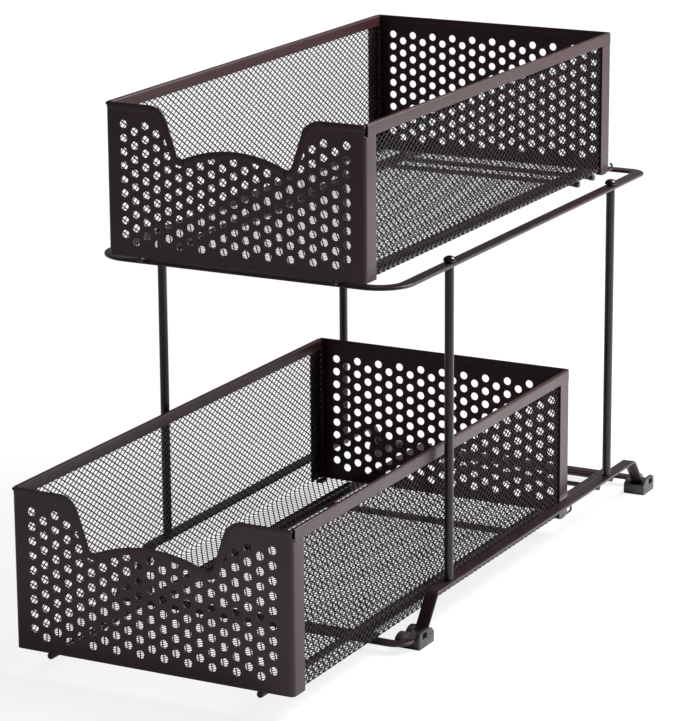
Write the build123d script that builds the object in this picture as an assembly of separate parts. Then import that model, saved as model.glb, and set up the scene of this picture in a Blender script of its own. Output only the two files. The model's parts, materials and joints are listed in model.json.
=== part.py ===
# Two-tier under sink organizer: a bent strip frame with four posts, and two sliding baskets
# of perforated panels and wire mesh. The lower basket is drawn out, as it stands at rest.
# Millimetres, +Z up, +Y to the back. The origin is on the floor under the middle of the whole.

import os

from build123d import *

# Lower basket
lower_width = 210.0
lower_depth = 432.0
lower_height = 112.0
# Upper basket, as shares of the lower one
upper_width_share = 0.931
upper_depth_share = 0.928
upper_height_share = 0.9375

# Basket sheet metal
sheet = 0.8
corner_radius = 3.0
front_flange = 15.5
rear_flange = 16.3
rim_height = 8.0
rim_slot = 2.0
rim_proud = 0.5
hem_width = 5.0
hem_proud = 0.5
lip_depth = 8.0
scoop_corner_radius = 4.0
scoop_shoulder_radius = 14.0
# The scoop in the front panel: half widths over the basket's width, depths over its height
scoop_top_share = 0.277
scoop_low_share = 0.216
scoop_depth_share = 0.343
scoop_hump_share = 0.249

# Perforation: 21 columns with 9 holes each, staggered by half a pitch; the shares are of the width
hole_columns = 21
hole_rows = 9
hole_pitch_share = 0.0482
hole_column_share = 0.043
hole_diameter_share = 0.0285
hole_top_share = 0.137

# Wire mesh, drawn as a net with large diamonds
mesh_thickness = 1.8
net_cell_long = 32.0
net_cell_short = 18.4
net_strand = 2.2
net_border = 4.0

# Runner rods, wire tails and bumpers under each basket
lower_runner_diameter = 4.8
upper_runner_diameter = 3.6
runner_spread_share = 0.757
runner_tip_share = 0.4
tail_diameter = 1.6
tail_inset = 2.4
tail_reach = 10.0
tail_rise = 2.6
tail_curl_radius = 1.6
tail_curl_angle = 120
tail_bend_radius = 2.0
bumper_length = 9.0
bumper_width = 5.0
bumper_height = 2.0
bumper_inset = 1.6
bumper_round = 0.8

# Frame strip, bent flat for the rails, legs, bars and slides
strip_width = 9.5
strip_thickness = 2.2
frame_room = 7.5
ring_front_turn_radius = 21.0
ring_rear_turn_radius = 10.0
leg_run = 18.5
leg_drop = 23.6
leg_bend_radius = 7.0
bar_turn_radius = 9.5
front_bar_tail = 8.0
front_leg_flat = 10.0
rear_bar_tail = 0.0
rear_leg_flat = 3.5

# Places along the lower frame, as shares of its depth, and that depth over the lower basket's
frame_depth_share = 0.98
front_post_share = 0.169
post_spacing_share = 0.649
ring_front_share = 0.195
ring_rear_share = 0.139
middle_strip_share = 0.397

# Posts, their nuts and screws
post_diameter = 6.4
post_length = 222.9
stud_diameter = 4.0
stud_length = 5.4
stud_clearance = 0.15
nut_diameter = 8.8
nut_neck_diameter = 6.4
nut_neck_height = 1.2
nut_dome_height = 3.6
screw_diameter = 3.6
screw_depth = 9.0
screw_head_diameter = 7.4
screw_head_height = 1.8

# Cross rods under the slides
rod_diameter = 3.8
rod_cap_diameter = 4.8
rod_cap_length = 4.0
rod_cap_wall = 1.2
upper_rod_setbacks = (49.0, 21.0)
lower_rod_setbacks = (33.0, 7.2)
front_rod_setback = 10.5

# Feet
foot_sole = 5.5
foot_height = 11.8
foot_inner_wall = 4.6
foot_outer_wall = 2.6
front_foot_length = 22.0
front_foot_setback = 11.5
rear_foot_length = 20.0
rear_foot_setback = 20.0
foot_round = 1.2
foot_near_turn = 2.5
foot_far_turn = 7.0
foot_slot_width = 6.0
foot_slot_height = 3.9
foot_slot_depth = 1.2
foot_slot_share = 0.34
hump_radius = 7.6
hump_height = 5.0
# Where the humps stand along each foot
front_hump_shares = (0.12, 0.86)
rear_hump_shares = (0.0, 0.63)

# Places and fits
pull_out = 117.0
lower_overhang = 22.5
upper_overhang = 11.7
running_gap = 0.3
seat_gap = 0.05
overrun = 1.0

# Sizes that follow from the lower basket's
upper_width = lower_width * upper_width_share
upper_depth = lower_depth * upper_depth_share
upper_height = lower_height * upper_height_share
lower_spread = lower_width * runner_spread_share
upper_spread = upper_width * runner_spread_share
frame_width = lower_width + 2 * frame_room
lower_frame_depth = lower_depth * frame_depth_share

# Heights, from the floor up
bar_z = foot_sole + strip_thickness / 2
foot_groove_z = foot_sole + strip_thickness
lower_slide_top = foot_sole + 2 * strip_thickness
lower_floor_z = lower_slide_top + running_gap + lower_runner_diameter + seat_gap
rail_z = bar_z + leg_drop
rail_top = rail_z + strip_thickness / 2
ring_bottom = rail_top + post_length
ring_top = ring_bottom + strip_thickness
upper_floor_z = ring_top + running_gap + upper_runner_diameter + seat_gap

# Places along Y: the whole reaches from the lower basket's front to the back of the rear bar
total_depth = hem_proud + pull_out + lower_overhang + lower_frame_depth + strip_width / 2
lower_front_y = hem_proud - total_depth / 2
front_bar_y = lower_front_y + pull_out + lower_overhang
rear_bar_y = front_bar_y + lower_frame_depth
front_post_y = front_bar_y + lower_frame_depth * front_post_share
rear_post_y = front_post_y + lower_frame_depth * post_spacing_share
ring_front_y = front_post_y - lower_frame_depth * ring_front_share
ring_rear_y = rear_post_y + lower_frame_depth * ring_rear_share
middle_strip_y = rear_bar_y - lower_frame_depth * middle_strip_share
upper_front_y = ring_front_y - upper_overhang
rail_x = frame_width / 2


def save(node, shape):
    export_step(shape, "parts/" + node + ".step")
    print(node, len(shape.solids()), "solids")


def box(x0, x1, y0, y1, z0, z1):
    block = Box(x1 - x0, y1 - y0, z1 - z0)
    return Pos((x0 + x1) / 2, (y0 + y1) / 2, (z0 + z1) / 2) * block


def rod_along(axis, start, length, diameter):
    """A round rod from a start point along a plane's normal."""
    plane = Plane(origin=start, z_dir=axis)
    return plane * Cylinder(diameter / 2, length, align=(Align.CENTER, Align.CENTER, Align.MIN))


def upright(sketch, y0, y1):
    """A flat shape drawn in X and Z, made solid from y0 to y1."""
    return Pos(0, y1, 0) * extrude(Plane.XZ * sketch, y1 - y0)


# Basket panels


def scoop_outline(width, height, grow):
    """The panel's outline with its scoop; grow widens its sides and bottom."""
    side = width / 2 + grow
    top = scoop_top_share * width
    low = scoop_low_share * width
    depth = height * (1 - scoop_depth_share)
    hump = height * (1 - scoop_hump_share)
    edges = [
        Line((-side, -grow), (side, -grow)),
        Line((side, -grow), (side, height)),
        Line((side, height), (top, height)),
        Line((top, height), (low, depth)),
        ThreePointArc((low, depth), (0, hump), (-low, depth)),
        Line((-low, depth), (-top, height)),
        Line((-top, height), (-side, height)),
        Line((-side, height), (-side, -grow)),
    ]
    face = make_face(edges)
    shoulders = [v for v in face.vertices() if abs(abs(v.X) - top) < sheet / 2 and v.Y > depth + sheet]
    face = fillet(shoulders, scoop_shoulder_radius)
    corners = [v for v in face.vertices() if abs(v.Y - depth) < sheet / 2 and abs(v.X) < top]
    return fillet(corners, scoop_corner_radius)


def plain_outline(width, height, grow):
    wide = width + 2 * grow
    tall = height + grow
    return Pos(0, height - tall / 2) * Rectangle(wide, tall)


def hole_places(width, height):
    """The centres of the holes, column by column, from the left."""
    pitch = hole_pitch_share * width
    step = hole_column_share * width
    places = []
    for column in range(hole_columns):
        x = (column - (hole_columns - 1) / 2) * step
        first = hole_top_share * height + (column % 2) * pitch / 2
        places += [(x, height - first - row * pitch) for row in range(hole_rows)]
    return places


def panel(width, height, flange, outline):
    """A perforated sheet, hemmed along its top, with a flange folded back at each side."""
    flat_width = width - 2 * corner_radius
    whole = outline(flat_width, height, 0)
    inner = whole & offset(outline(flat_width, height, hem_width), -hem_width, kind=Kind.INTERSECTION)
    hem = whole - inner
    field = inner.faces()[0]
    radius = hole_diameter_share * width / 2
    kept = [(x, z) for x, z in hole_places(width, height) if field.is_inside(Vector(x, z - radius / 2, 0))]
    holes = Sketch() + [Pos(x, z) * Circle(radius) for x, z in kept]
    wall = upright(inner - holes, 0, sheet) + upright(hem, -hem_proud, sheet + hem_proud)
    return wall + panel_sides(width, height, flange) + panel_lip(width)


def panel_sides(width, height, flange):
    """The rounded upright folds and the flanges behind them."""
    outer = Pos(0, flange / 2) * Rectangle(width, flange)
    outer = fillet(outer.vertices().group_by(Axis.Y)[0], corner_radius)
    inner = Pos(0, (flange + sheet) / 2) * Rectangle(width - 2 * sheet, flange - sheet)
    inner = fillet(inner.vertices().group_by(Axis.Y)[0], corner_radius - sheet)
    sides = extrude(outer - inner, height)
    middle = width / 2 - corner_radius
    sides -= box(-middle, middle, -overrun, flange + overrun, -overrun, height + overrun)
    reach = width / 2 + overrun
    return sides - box(-reach, reach, corner_radius, flange + overrun, height - rim_height, height + overrun)


def panel_lip(width):
    """The inner lip that holds the edge of the floor mesh down."""
    half = width / 2 - corner_radius
    return box(-half, half, sheet / 2, lip_depth, mesh_thickness, mesh_thickness + sheet)


# Basket mesh, rims and runners


def net(length, width):
    """A flat net with diamond gaps, centred, its long way along X."""
    long_gap = net_cell_long - 2 * net_strand
    short_gap = net_cell_short - 2 * net_strand * net_cell_short / net_cell_long
    columns = int((length - 2 * net_border - long_gap) / net_cell_long * 2)
    rows = int((width - 2 * net_border - short_gap) / net_cell_short * 2)
    gap = Polygon((-long_gap / 2, 0), (0, -short_gap / 2), (long_gap / 2, 0), (0, short_gap / 2))
    step_x = net_cell_long / 2
    step_y = net_cell_short / 2
    places = [(i, j) for i in range(columns + 1) for j in range(rows + 1) if (i + j) % 2 == 0]
    gaps = Sketch() + [Pos((i - columns / 2) * step_x, (j - rows / 2) * step_y) * gap for i, j in places]
    return Rectangle(length, width) - gaps


def side_mesh(width, depth, height, side):
    """One upright wall of mesh: side is 1 on the right and -1 on the left."""
    tall = height - sheet - seat_gap
    wall = extrude(Plane.YZ * net(depth - 2 * corner_radius, tall), mesh_thickness)
    x = width / 2 - sheet - mesh_thickness if side > 0 else sheet - width / 2
    return Pos(x, depth / 2, tall / 2) * wall


def floor_mesh(width, depth):
    wide = width - 2 * (sheet + mesh_thickness)
    flat = Rot(0, 0, 90) * net(depth - 2 * corner_radius, wide)
    return Pos(0, depth / 2, 0) * extrude(flat, mesh_thickness)


def rim(width, depth, height, side):
    """The folded strip that caps the mesh along one side, a little proud of the panels."""
    outer_x = width / 2 + rim_proud
    inner_x = width / 2 - 2 * sheet - mesh_thickness
    y0 = corner_radius + rim_slot
    y1 = depth - corner_radius - seat_gap
    channel = box(inner_x, outer_x, y0, y1, height - rim_height, height)
    channel -= box(
        inner_x + sheet, outer_x - sheet, y0 - overrun, y1 + overrun, height - rim_height - overrun, height - sheet
    )
    return channel if side > 0 else mirror(channel, Plane.YZ)


def runner(depth, side, spread, diameter):
    """A round rod under the floor, which glides along a slide of the frame."""
    z = -diameter / 2 - seat_gap
    rod = rod_along((0, 1, 0), (side * spread / 2, 0, z), depth, diameter)
    return fillet(rod.edges().filter_by(GeomType.CIRCLE), runner_tip_share * diameter)


def tails(width, depth):
    """Thin wires at the rear corners, which reach back from the bumpers and curl up."""
    radius = tail_diameter / 2
    z = -radius - seat_gap
    start = depth - bumper_inset + seat_gap
    end = depth + tail_reach
    line = FilletPolyline((start, z), (end, z), (end, z + tail_rise), radius=tail_bend_radius)
    curl = CenterArc((end - tail_curl_radius, z + tail_rise), tail_curl_radius, 0, tail_curl_angle)
    profile = Plane(origin=(0, start, z), z_dir=(0, 1, 0)) * Circle(radius)
    wire = sweep(profile, path=Wire((Plane.YZ * Curve([*line.edges(), *curl.edges()])).edges()))
    x = width / 2 - tail_inset
    return Compound([Pos(side * x, 0, 0) * wire for side in (-1, 1)])


def bumpers(width, depth):
    """A small rubber block under each rear corner."""
    inner = width / 2 - bumper_inset - bumper_width
    outer = width / 2 - bumper_inset
    block = box(inner, outer, depth - bumper_inset - bumper_length, depth - bumper_inset, -bumper_height, 0)
    block = fillet(block.edges().filter_by(Axis.X).group_by(Axis.Z)[0], bumper_round)
    return Compound([block, mirror(block, Plane.YZ)])


def basket(name, width, depth, height, front_y, floor_z, spread, runner_diameter):
    """All pieces of one basket, built at the origin and moved to their tier."""
    front = panel(width, height, front_flange, scoop_outline)
    rear = panel(width, height, rear_flange, plain_outline)
    place = Pos(0, front_y, floor_z)
    save(name + "_front_panel", place * front)
    save(name + "_rear_panel", place * Pos(0, depth, 0) * Rot(0, 0, 180) * rear)
    save(name + "_floor_mesh", place * floor_mesh(width, depth))
    for word, side in (("left", -1), ("right", 1)):
        save(name + "_" + word + "_mesh", place * side_mesh(width, depth, height, side))
        save(name + "_" + word + "_rim", place * rim(width, depth, height, side))
        save(name + "_" + word + "_runner", place * runner(depth, side, spread, runner_diameter))
    save(name + "_tails", place * tails(width, depth))
    save(name + "_bumpers", place * bumpers(width, depth))


# Frame


def stud_hole(x, y, z0, z1, diameter):
    return rod_along((0, 0, 1), (x, y, z0 - overrun), z1 - z0 + 2 * overrun, diameter)


def strip_loop(y0, y1, front_radius, rear_radius):
    """A closed loop of flat strip seen from above, as wide as the frame."""
    loops = []
    for grow in (strip_width / 2, -strip_width / 2):
        loop = Pos(0, (y0 + y1) / 2) * Rectangle(frame_width + 2 * grow, y1 - y0 + 2 * grow)
        loop = fillet(loop.vertices().group_by(Axis.Y)[0], front_radius + grow)
        loops.append(fillet(loop.vertices().group_by(Axis.Y)[-1], rear_radius + grow))
    return loops[0] - loops[1]


def upper_ring():
    """The closed loop of flat strip that carries the upper basket."""
    loop = strip_loop(ring_front_y, ring_rear_y, ring_front_turn_radius, ring_rear_turn_radius)
    ring = Pos(0, 0, ring_bottom) * extrude(loop, strip_thickness)
    for x in (-rail_x, rail_x):
        for y in (front_post_y, rear_post_y):
            ring -= stud_hole(x, y, ring_bottom, ring_top, stud_diameter + 2 * stud_clearance)
    return ring


def lower_rail(side):
    """A side rail of flat strip, bent down at both ends into legs that reach into the feet."""
    front = front_bar_y + bar_turn_radius + front_bar_tail
    rear = rear_bar_y - bar_turn_radius - rear_bar_tail
    points = [
        (front - strip_thickness, bar_z),
        (front + front_leg_flat, bar_z),
        (front + front_leg_flat + leg_run, rail_z),
        (rear - rear_leg_flat - leg_run, rail_z),
        (rear - rear_leg_flat, bar_z),
        (rear + strip_thickness, bar_z),
    ]
    band = offset(FilletPolyline(*points, radius=leg_bend_radius), strip_thickness / 2, side=Side.BOTH)
    rail = extrude(Plane.YZ * make_face(band), strip_width / 2, both=True)
    rail &= box(-strip_width, strip_width, front, rear, 0, rail_top + overrun)
    rail = Pos(side * rail_x, 0, 0) * rail
    for y in (front_post_y, rear_post_y):
        hole = screw_diameter + 2 * stud_clearance
        rail -= stud_hole(side * rail_x, y, rail_z - strip_thickness / 2, rail_top, hole)
    return rail


def lower_bar(y, tail, turn):
    """A bar at floor level with its two turned ends: turn is 1 where they point back."""
    reach = strip_width + bar_turn_radius + tail
    middle = y + turn * (bar_turn_radius + tail - reach / 2)
    corner = Pos(0, middle) * Rectangle(frame_width + 2 * strip_width, reach)
    outline = strip_loop(front_bar_y, rear_bar_y, bar_turn_radius, bar_turn_radius) & corner
    return Pos(0, 0, foot_sole) * extrude(outline, strip_thickness)


def post(x, y):
    body = rod_along((0, 0, 1), (x, y, rail_top), post_length, post_diameter)
    body += rod_along((0, 0, 1), (x, y, ring_bottom), stud_length, stud_diameter)
    bore = rod_along((0, 0, 1), (x, y, rail_top - overrun), screw_depth + overrun, screw_diameter + 2 * stud_clearance)
    return body - bore


def cap_nut(x, y):
    """A domed nut with a narrow neck, screwed on the stud of a post."""
    neck = rod_along((0, 0, 1), (x, y, ring_top), nut_neck_height, nut_neck_diameter)
    half = nut_diameter / 2
    dome_radius = (half**2 + nut_dome_height**2) / (2 * nut_dome_height)
    dome_bottom = ring_top + nut_neck_height
    dome_top = dome_bottom + nut_dome_height
    ball = Pos(x, y, dome_top - dome_radius) * Sphere(dome_radius)
    head = ball & box(x - nut_diameter, x + nut_diameter, y - nut_diameter, y + nut_diameter, dome_bottom, dome_top + overrun)
    bore_depth = stud_length - strip_thickness + stud_clearance
    bore = rod_along((0, 0, 1), (x, y, ring_top - overrun), bore_depth + overrun, stud_diameter + 2 * stud_clearance)
    return neck + head - bore


def post_screw(x, y):
    under = rail_z - strip_thickness / 2
    head = rod_along((0, 0, 1), (x, y, under - screw_head_height), screw_head_height, screw_head_diameter)
    head = fillet(head.edges().group_by(Axis.Z)[0], screw_head_height / 2)
    shank_length = strip_thickness + screw_depth - stud_clearance
    return head + rod_along((0, 0, 1), (x, y, under), shank_length, screw_diameter)


def slide(side, spread, y0, y1, z0):
    half = strip_width / 2
    x = side * spread / 2
    return box(x - half, x + half, y0, y1, z0, z0 + strip_thickness)


def cross_rods(places, spread, z):
    """Rods that lie across under the two slides."""
    length = spread + strip_width + 2 * (seat_gap + rod_cap_length - rod_cap_wall)
    rods = [rod_along((1, 0, 0), (-length / 2, y, z - rod_diameter / 2), length, rod_diameter) for y in places]
    return Compound(rods)


def rod_caps(places, spread, z):
    """The plastic caps on the rods' ends, just outside the slides."""
    start = (spread + strip_width) / 2 + seat_gap
    caps = []
    for y in places:
        cap = rod_along((1, 0, 0), (start, y, z - rod_diameter / 2), rod_cap_length, rod_cap_diameter)
        cap = fillet(cap.edges().filter_by(GeomType.CIRCLE).group_by(Axis.X)[-1], rod_cap_wall / 2)
        cap -= rod_along((1, 0, 0), (0, y, z - rod_diameter / 2), start + rod_cap_length - rod_cap_wall, rod_diameter)
        caps += [cap, mirror(cap, Plane.YZ)]
    return Compound(caps)


def foot_block(inner, outer, length):
    """The sole with the plate on its outer side: the strip lies in the groove between the walls."""
    plan = Pos((inner + outer) / 2, length / 2) * RectangleRounded(outer - inner, length, foot_round)
    view = Pos(length / 2, foot_height / 2) * Rectangle(length, foot_height)
    view = fillet(view.vertices().group_by(Axis.Y)[-1].sort_by(Axis.X)[0], foot_near_turn)
    view = fillet(view.vertices().group_by(Axis.X)[-1].sort_by(Axis.Y)[-1], foot_far_turn)
    block = extrude(plan, foot_height) & extrude(Plane.YZ * view, -inner + overrun, both=True)
    reach = length + overrun
    return block - box(inner - overrun, strip_width / 2, -overrun, reach, foot_groove_z, foot_height + overrun)


def foot(side, y0, length, turn, hump_shares, metal):
    """A moulded foot from y0 towards the legs. Turn is 1 where that is back."""
    inner = -strip_width / 2 - foot_inner_wall
    outer = strip_width / 2 + foot_outer_wall
    body = foot_block(inner, outer, length)
    squash = (1, hump_height / hump_radius, 1)
    arch = scale(Circle(hump_radius), squash) & Pos(0, hump_height / 2) * Rectangle(2 * hump_radius, hump_height)
    for share in hump_shares:
        body += Pos(inner, share * length, foot_sole) * extrude(Plane.YZ * arch, foot_inner_wall)
    slot_y = foot_slot_share * length
    slot_z = foot_height - foot_slot_height - foot_round
    width = foot_slot_width / 2
    depth = foot_slot_depth
    body -= box(outer - depth, outer + overrun, slot_y - width, slot_y + width, slot_z, slot_z + foot_slot_height)
    if turn < 0:
        body = mirror(body, Plane.XZ)
    if side < 0:
        body = mirror(body, Plane.YZ)
    return Pos(side * rail_x, y0, 0) * body - metal


def frame():
    save("upper_ring", upper_ring())
    rails = {"left": lower_rail(-1), "right": lower_rail(1)}
    bars = {
        "front": lower_bar(front_bar_y, front_bar_tail, 1),
        "rear": lower_bar(rear_bar_y, rear_bar_tail, -1),
    }
    for word, rail in rails.items():
        save("lower_" + word + "_rail", rail)
    for word, bar in bars.items():
        save("lower_" + word + "_bar", bar)
    posts = [(x, y) for y in (front_post_y, rear_post_y) for x in (-rail_x, rail_x)]
    names = ("front_left", "front_right", "rear_left", "rear_right")
    for word, (x, y) in zip(names, posts):
        save(word + "_post", post(x, y))
    save("cap_nuts", Compound([cap_nut(x, y) for x, y in posts]))
    save("post_screws", Compound([post_screw(x, y) for x, y in posts]))
    for side_word, side in (("left", -1), ("right", 1)):
        y0 = ring_front_y + strip_width / 2
        y1 = ring_rear_y - strip_width / 2
        save("upper_" + side_word + "_slide", slide(side, upper_spread, y0, y1, ring_bottom))
        y0 = front_bar_y - strip_width / 2
        y1 = rear_bar_y + strip_width / 2
        save("lower_" + side_word + "_slide", slide(side, lower_spread, y0, y1, foot_sole + strip_thickness))
    feet = (
        ("front", front_bar_y + front_foot_setback, front_foot_length, 1, front_hump_shares),
        ("rear", rear_bar_y - rear_foot_setback + rear_foot_length, rear_foot_length, -1, rear_hump_shares),
    )
    for bar_word, y, length, turn, hump_shares in feet:
        for side_word, side in (("left", -1), ("right", 1)):
            metal = [rails[side_word], bars[bar_word]]
            save(bar_word + "_" + side_word + "_foot", foot(side, y, length, turn, hump_shares, metal))


def cross_pieces():
    upper_places = [ring_rear_y - setback for setback in upper_rod_setbacks]
    lower_places = [rear_bar_y - setback for setback in lower_rod_setbacks]
    lower_places.append(front_bar_y + front_rod_setback)
    slide_bottom = foot_sole + strip_thickness
    save("upper_cross_rods", cross_rods(upper_places, upper_spread, ring_bottom))
    save("lower_cross_rods", cross_rods(lower_places, lower_spread, slide_bottom))
    save("upper_rod_caps", rod_caps(upper_places, upper_spread, ring_bottom))
    save("lower_rod_caps", rod_caps(lower_places, lower_spread, slide_bottom))
    half = (lower_spread + strip_width) / 2
    y0 = middle_strip_y - strip_width / 2
    y1 = middle_strip_y + strip_width / 2
    save("lower_middle_strip", box(-half, half, y0, y1, foot_sole, slide_bottom))


os.makedirs("parts", exist_ok=True)
frame()
cross_pieces()
lower_sizes = (lower_width, lower_depth, lower_height)
upper_sizes = (upper_width, upper_depth, upper_height)
basket("lower", *lower_sizes, lower_front_y, lower_floor_z, lower_spread, lower_runner_diameter)
basket("upper", *upper_sizes, upper_front_y, upper_floor_z, upper_spread, upper_runner_diameter)
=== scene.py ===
# Under sink organizer: the finished pieces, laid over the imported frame.
# Metres, +Z up, +Y to the back; the baskets slide out along -Y.

import json
from math import ceil, cos, pi, radians, sin, tan

import bmesh
import bpy
import numpy as np
from mathutils import Matrix, Vector


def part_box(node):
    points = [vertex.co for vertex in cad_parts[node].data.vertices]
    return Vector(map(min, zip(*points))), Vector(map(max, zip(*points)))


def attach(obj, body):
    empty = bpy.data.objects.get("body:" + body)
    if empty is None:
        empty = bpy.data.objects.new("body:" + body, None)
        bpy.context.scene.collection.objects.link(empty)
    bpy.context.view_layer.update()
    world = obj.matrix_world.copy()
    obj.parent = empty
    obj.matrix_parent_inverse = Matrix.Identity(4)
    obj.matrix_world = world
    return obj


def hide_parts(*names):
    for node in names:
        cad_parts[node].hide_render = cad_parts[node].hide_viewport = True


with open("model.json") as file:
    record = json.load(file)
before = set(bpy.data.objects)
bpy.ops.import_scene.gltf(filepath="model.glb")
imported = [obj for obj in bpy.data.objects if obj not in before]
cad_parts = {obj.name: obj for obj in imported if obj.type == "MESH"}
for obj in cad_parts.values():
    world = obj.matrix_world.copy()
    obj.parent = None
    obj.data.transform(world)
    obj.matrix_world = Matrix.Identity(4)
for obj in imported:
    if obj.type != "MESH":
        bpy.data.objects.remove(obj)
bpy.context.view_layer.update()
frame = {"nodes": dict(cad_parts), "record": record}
print("frame loaded:", len(frame["nodes"]), "nodes")

upward = Vector((0, 0, 1))
plainEnds = ((0.0, 1.0),)  # how far a sweep's end rings stand in, and their scale
meshDetail = {
    "arcStep": radians(11), "cornerSides": 3, "sharpFrom": radians(38), "mergeWithin": 1e-6, "cutWithin": 1e-7,
}

# Node and shader tree helpers


def addNode(tree, kind, wires=None, **settings):
    node = tree.nodes.new(kind)
    for key, value in settings.items():
        setattr(node, key, value)
    for key, value in (wires or {}).items():
        if isinstance(value, bpy.types.NodeSocket):
            tree.links.new(value, node.inputs[key])
        else:
            node.inputs[key].default_value = value
    return node


def reckon(tree, operation, *values):
    # one sum on values or sockets
    return addNode(tree, "ShaderNodeMath", dict(enumerate(values)), operation=operation).outputs[0]


def startTree(name, kind, inlets, outlets):
    tree = bpy.data.node_groups.new(name, kind)
    for label, socketType in inlets:
        tree.interface.new_socket(name=label, in_out="INPUT", socket_type=socketType)
    for label, socketType in outlets:
        tree.interface.new_socket(name=label, in_out="OUTPUT", socket_type=socketType)
    return tree, tree.nodes.new("NodeGroupInput").outputs, tree.nodes.new("NodeGroupOutput").inputs


number, whole, geometry, finishSocket = (
    "NodeSocketFloat", "NodeSocketInt", "NodeSocketGeometry", "NodeSocketMaterial",
)


# Mesh helpers


def roundedPath(corners, closed=False):
    # corners are (place, radius); the runs between them are joined by tangent arcs
    places = [Vector(place) for place, radius in corners]
    last = len(corners) - 1
    points = []
    for i, (place, radius) in enumerate(corners):
        here = places[i]
        if radius == 0 or (not closed and i in (0, last)):
            points.append(here)
            continue
        before = (places[i - 1] - here).normalized()
        after = (places[(i + 1) % len(places)] - here).normalized()
        turn = pi - before.angle(after)
        reach = radius * tan(turn / 2)
        centre = here + (before + after).normalized() * (radius / cos(turn / 2))
        start = here + before * reach - centre
        end = here + after * reach - centre
        steps = max(2, ceil(turn / meshDetail["arcStep"]))
        for k in range(steps + 1):
            angle = turn * k / steps
            points.append(centre + start * (sin(turn - angle) / sin(turn)) + end * (sin(angle) / sin(turn)))
    return points


def roundedBar(wide, tall, radius):
    # a rectangle with round corners, as a ring of points round the origin
    sides = meshDetail["cornerSides"]
    ring = []
    for sx, sy, first in ((1, 1, 0), (-1, 1, 90), (-1, -1, 180), (1, -1, 270)):
        x, y = sx * (wide / 2 - radius), sy * (tall / 2 - radius)
        for k in range(sides + 1):
            angle = radians(first + 90 * k / sides)
            ring.append((x + radius * cos(angle), y + radius * sin(angle)))
    return ring


def getPoints(data):
    return np.array([v.co for v in data.vertices])


def setPoints(data, points):
    data.vertices.foreach_set("co", points.astype(np.float32).ravel())
    data.update()


def finishMesh(name, vertices, faces, material):
    data = bpy.data.meshes.new(name)
    data.from_pydata([tuple(v) for v in vertices], [], [tuple(f) for f in faces])
    return finishObject(name, data, material)


def finishObject(name, data, material):
    data.materials.clear()
    data.materials.append(material)
    data.shade_smooth()
    data.set_sharp_from_angle(angle=meshDetail["sharpFrom"])
    data.validate()
    piece = bpy.data.objects.new(name, data)
    bpy.context.collection.objects.link(piece)
    return piece


def plainCopy(piece):
    # the evaluated object as a plain mesh, with its modifiers taken off
    evaluated = piece.evaluated_get(bpy.context.evaluated_depsgraph_get())
    data = bpy.data.meshes.new_from_object(evaluated)
    bpy.data.objects.remove(piece)
    return data


def sweepRings(path, ring, closed, ends):
    # ring points are (along the side direction, along the normal); ends are (advance, scale) steps
    count = len(path)
    rings = []
    for i, place in enumerate(path):
        before = path[i - 1] if closed or i > 0 else place
        after = path[(i + 1) % count] if closed or i < count - 1 else place
        tangent = ((place - before).normalized() + (after - place).normalized()).normalized()
        side = tangent.cross(upward).normalized()
        normal = side.cross(tangent).normalized()
        stops = plainEnds
        if not closed and i == 0:
            stops = ends
        if not closed and i == count - 1:
            stops = [(-advance, scale) for advance, scale in reversed(ends)]
        for advance, scale in stops:
            centre = place + tangent * advance
            rings.append([centre + side * (a * scale) + normal * (b * scale) for a, b in ring])
    return rings


def skin(rings, closed=False):
    sides = len(rings[0])
    vertices = [v for ring in rings for v in ring]
    faces = []
    spans = len(rings) if closed else len(rings) - 1
    for i in range(spans):
        a = i * sides
        b = (i + 1) % len(rings) * sides
        for k in range(sides):
            m = (k + 1) % sides
            faces.append((a + k, a + m, b + m, b + k))
    if not closed:
        faces.append(tuple(reversed(range(sides))))
        faces.append(tuple(range((len(rings) - 1) * sides, len(rings) * sides)))
    return vertices, faces


def outward(data):
    work = bmesh.new()
    work.from_mesh(data)
    bmesh.ops.recalc_face_normals(work, faces=work.faces)
    work.to_mesh(data)
    work.free()


def sweep(name, path, ring, material, closed=False, ends=plainEnds):
    piece = finishMesh(name, *skin(sweepRings(path, ring, closed, ends), closed), material)
    outward(piece.data)
    return piece


def circle(radius, sides):
    return [(radius * cos(2 * pi * k / sides), radius * sin(2 * pi * k / sides)) for k in range(sides)]


def lathe(outline, place, sides):
    # outline runs from the bottom of the axis to its top, as (radius, height)
    return skin([[place + Vector((x, y, height)) for x, y in circle(radius, sides)] for radius, height in outline])


def mendPoles(data):
    # merges the rings that close on the axis of a lathed mesh
    work = bmesh.new()
    work.from_mesh(data)
    bmesh.ops.remove_doubles(work, verts=work.verts, dist=meshDetail["mergeWithin"])
    bmesh.ops.dissolve_degenerate(work, edges=work.edges, dist=meshDetail["cutWithin"])
    bmesh.ops.recalc_face_normals(work, faces=work.faces)
    work.to_mesh(data)
    work.free()


def joined(parts):
    vertices, faces = [], []
    for moreVertices, moreFaces in parts:
        shift = len(vertices)
        vertices += list(moreVertices)
        faces += [tuple(i + shift for i in face) for face in moreFaces]
    return vertices, faces


def install(piece, body, slot, *nodes):
    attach(piece, body)
    if nodes:
        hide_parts(*nodes)
    return piece


# Materials

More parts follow.
